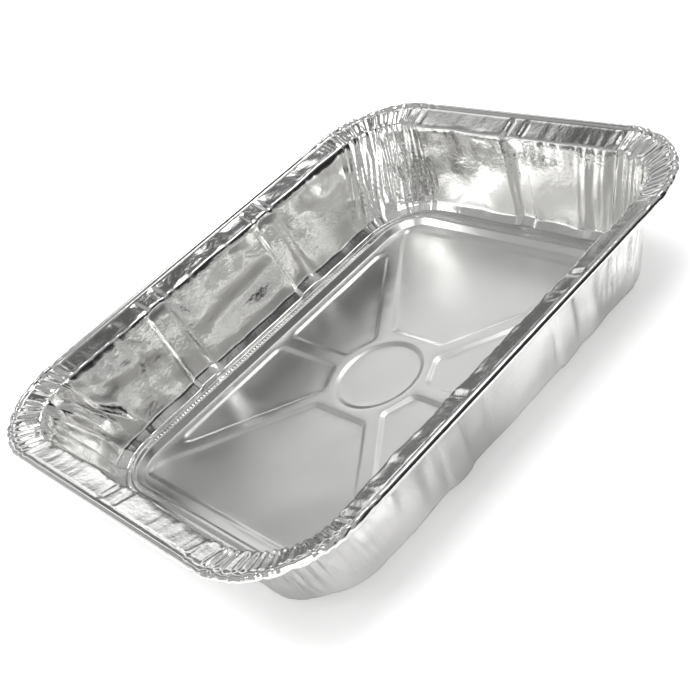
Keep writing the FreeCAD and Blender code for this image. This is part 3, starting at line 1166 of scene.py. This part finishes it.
def makeWorld(sizes):
    world = bpy.data.worlds.new("studio")
    scene.world = world
    world.use_nodes = True
    tree = world.node_tree
    tree.nodes.clear()
    path = tree.nodes.new("ShaderNodeLightPath").outputs
    clear = calculate(tree, "MAXIMUM", path["Is Camera Ray"], path["Is Glossy Ray"])
    clear = calculate(tree, "MAXIMUM", clear, path["Is Transmission Ray"])
    mix = tree.nodes.new("ShaderNodeMixShader")
    tree.links.new(clear, mix.inputs[0])
    for strength, socket in ((sizes["light"], mix.inputs[1]), (sizes["seen"], mix.inputs[2])):
        light = tree.nodes.new("ShaderNodeBackground")
        light.inputs["Color"].default_value = (1.0, 1.0, 1.0, 1.0)
        light.inputs["Strength"].default_value = strength
        tree.links.new(light.outputs[0], socket)
    out = tree.nodes.new("ShaderNodeOutputWorld")
    tree.links.new(mix.outputs[0], out.inputs["Surface"])


makeWorld(worldSizes)


# A light tent round the tray, unseen by the camera: grey cloth with soft panels, each a direction
# (x, y, z), its half angle in degrees, how softly it ends, and its brightness. At the end of each
# line stands where the foil mirrors it.
tentSizes = {
    "radius": 2.6,
    "segments": (64, 32),
    "cloth": 0.45,
    "patchScale": 4.0,
    "patchEdge": (0.38, 0.62),
    "patches": (0.72, 1.32),
    "panels": [
        ((0.36, 0.74, 0.55), 24.0, 8.0, 1.0),  # floor
        ((0.43, -0.70, 0.38), 28.0, 8.0, 0.03),  # left wall and left step
        ((0.43, -0.45, 0.78), 10.0, 4.0, 0.07),  # left foot
        ((0.43, -0.16, 0.89), 8.0, 4.0, 0.07),  # feet of the left ribs
        ((0.02, 0.69, 0.71), 16.0, 8.0, 0.34),  # far flange
        ((0.60, 0.75, 0.25), 14.0, 5.0, 0.43),  # near flange
        ((0.42, 0.90, 0.06), 15.0, 6.0, 0.14),  # right flange
        ((0.32, 0.46, 0.83), 11.0, 5.0, 0.08),  # left flange
        ((0.42, 0.33, 0.84), 16.0, 6.0, 0.12),  # left flange
        ((0.40, 0.20, 0.88), 9.5, 5.0, 4.0),  # left edge of the floor
        ((-0.66, 0.70, 0.22), 13.0, 6.0, 0.9),  # far step
        ((-0.49, 0.69, 0.54), 9.0, 5.0, 0.32),  # far foot
        ((-0.75, -0.62, 0.20), 16.0, 8.0, 2.3),  # far-left corner
        ((-0.64, -0.77, 0.0), 10.0, 4.0, 0.5),  # far-left corner
        ((-0.55, -0.32, 0.80), 10.0, 5.0, 8.0),  # lip at the far-left corner
    ],
}


def tentMaterial(sizes):
    material, tree = freshMaterial("tentCloth")
    place = tree.nodes.new("ShaderNodeTexCoord").outputs["Object"]
    way = vectorNode(tree, "NORMALIZE", place).outputs[0]
    level = sizes["cloth"]
    for direction, half, soft, shade in sizes["panels"]:
        towards = vectorNode(tree, "DOT_PRODUCT", way, Vector(direction).normalized()).outputs["Value"]
        ends = (math.cos(math.radians(half + soft)), math.cos(math.radians(half - soft)))
        blend = tree.nodes.new("ShaderNodeMix")
        feed(tree, blend.inputs["Factor"], remap(tree, towards, ends, (0.0, 1.0), "SMOOTHSTEP"))
        feed(tree, blend.inputs["A"], level)
        feed(tree, blend.inputs["B"], shade)
        level = blend.outputs["Result"]
    # lighter and darker patches all over, as in a room
    patches = remap(tree, cloudNoise(tree, way, sizes["patchScale"], 2.0),
                    sizes["patchEdge"], sizes["patches"])
    glow = tree.nodes.new("ShaderNodeEmission")
    tree.links.new(calculate(tree, "MULTIPLY", level, patches), glow.inputs["Strength"])
    out = tree.nodes.new("ShaderNodeOutputMaterial")
    tree.links.new(glow.outputs[0], out.inputs["Surface"])
    return material


def makeTent(sizes):
    form = bmesh.new()
    around, up = sizes["segments"]
    bmesh.ops.create_uvsphere(form, u_segments=around, v_segments=up, radius=sizes["radius"])
    low = [vertex for vertex in form.verts if vertex.co.z < -0.01]
    bmesh.ops.delete(form, geom=low, context="VERTS")
    mesh = bpy.data.meshes.new("lightTent")
    form.to_mesh(mesh)
    form.free()
    mesh.shade_smooth()
    mesh.materials.append(tentMaterial(sizes))
    tent = bpy.data.objects.new("lightTent", mesh)
    scene.collection.objects.link(tent)
    tent.visible_camera = False
    tent.visible_shadow = False
    tent.visible_diffuse = False


makeTent(tentSizes)


lamps = {
    "overheadLamp": {"place": (0.0, 0.0, 1.5), "size": 1.3, "watts": 31.0},
    "leftLamp": {"place": (-1.2, 0.9, 0.9), "size": 0.9, "watts": 4.0},
}


def makeLamp(name, sizes):
    data = bpy.data.lights.new(name, "AREA")
    data.shape = "SQUARE"
    data.size = sizes["size"]
    data.energy = sizes["watts"]
    lamp = bpy.data.objects.new(name, data)
    scene.collection.objects.link(lamp)
    lamp.location = sizes["place"]
    lamp.rotation_euler = (-Vector(sizes["place"])).to_track_quat("-Z", "Y").to_euler()
    lamp.visible_glossy = False


for name, sizes in lamps.items():
    makeLamp(name, sizes)
scene.view_settings.view_transform = "Standard"
print("stage and lamps set")
